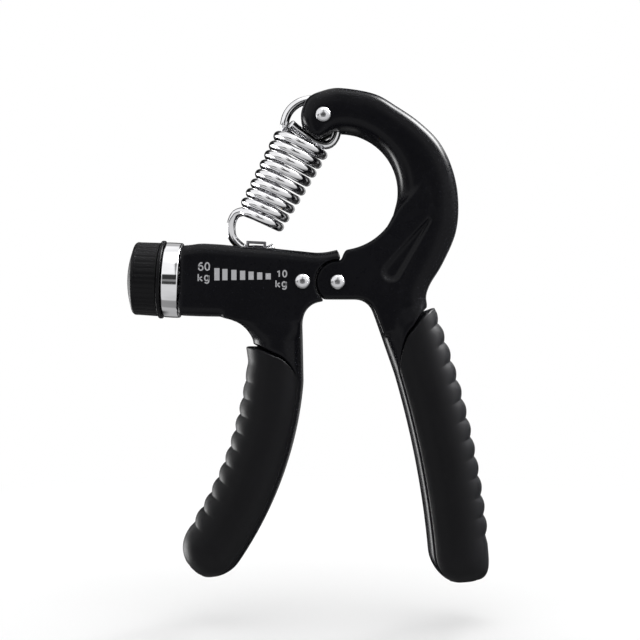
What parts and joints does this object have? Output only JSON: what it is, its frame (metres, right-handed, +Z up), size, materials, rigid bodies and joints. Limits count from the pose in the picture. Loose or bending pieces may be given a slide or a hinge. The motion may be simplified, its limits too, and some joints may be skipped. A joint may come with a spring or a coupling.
{
  "type": "hand gripper",
  "caption": "Adjustable hand gripper: ring-shaped arm with a grip handle, hinged lever with a load knob and slider, and an extension spring between them.",
  "frame": {"origin": "centre of the bounding box in X and Y, at the lowest point of the handles", "axes": "+Z up along the height with the ring-shaped arm on top, +X towards the arm's handle, -Y towards the front with the load scale"},
  "size_m": [0.1169, 0.0252, 0.1594],
  "materials": {
    "moulded_plastic": "fine satin",
    "grip_rubber": "matt",
    "zinc_steel": "zinc plated",
    "dark_steel": "oiled",
    "nickel": "polished",
    "nylon": "plain",
    "black_nylon": "plain",
    "brass": "turned",
    "chrome": "mirror polish",
    "spring_chrome": "polished plating",
    "knob_plastic": "matt"
  },
  "bodies": {
    "arm": {"arm_body": "moulded_plastic", "arm_grip": "grip_rubber", "pivot_rivet": "nickel", "pivot_washer_front": "nylon", "pivot_washer_back": "nylon", "tip_rivet": "nickel"},
    "lever": {"lever_body": "moulded_plastic", "lever_grip": "grip_rubber", "channel": "zinc_steel", "frame_rivet": "nickel", "pivot_sleeve": "brass", "front_bush": "brass", "end_bush": "brass", "chrome_ring": "chrome"},
    "knob": {"knob": "knob_plastic", "knob_cap": "knob_plastic", "knob_screw": "zinc_steel", "knob_flange": "knob_plastic", "lead_screw": "zinc_steel", "retaining_clip": "dark_steel"},
    "slider": {"slider_nut": "brass", "slider_bridge": "zinc_steel"},
    "bush": {"spring_bush": "black_nylon"},
    "spring": {"spring": "spring_chrome"}
  },
  "joints": [
    {"name": "squeeze", "type": "hinge", "parent": "arm", "child": "lever", "pos_m": [0.00976, 0, 0.09727], "axis": [0, -1, 0], "range_deg": [0, 34], "stiffness_Nm_per_rad": 8, "springref_deg": -17.19},
    {"name": "slider_travel", "type": "slide", "parent": "lever", "child": "slider", "axis": [0.9989, 0, -0.0471], "range_m": [-0.006, 0.005]},
    {"name": "knob_turn", "type": "hinge", "parent": "lever", "child": "knob", "pos_m": [-0.04598, 0, 0.09827], "axis": [0.9989, 0, -0.0471], "range_deg": [-1080.5, 900.5]},
    {"name": "spring_swing", "type": "hinge", "parent": "arm", "child": "bush", "pos_m": [0.00527, 0, 0.1503], "axis": [0, -1, 0], "range_deg": [-6.53, 5.45]},
    {"name": "spring_stretch", "type": "slide", "parent": "bush", "child": "spring", "axis": [-0.0932, 0, -0.9956], "range_m": [0, 0.01667], "deforming": ["spring"]}
  ],
  "couplings": [
    {"joint": "knob_turn", "follows": "slider_travel", "rad_per_m": 3141.6},
    {"joint": "spring_swing", "follows": "slider_travel", "rad_per_m": 18.85},
    {"joint": "spring_stretch", "follows": "squeeze", "m_per_rad": 0.028055}
  ]
}
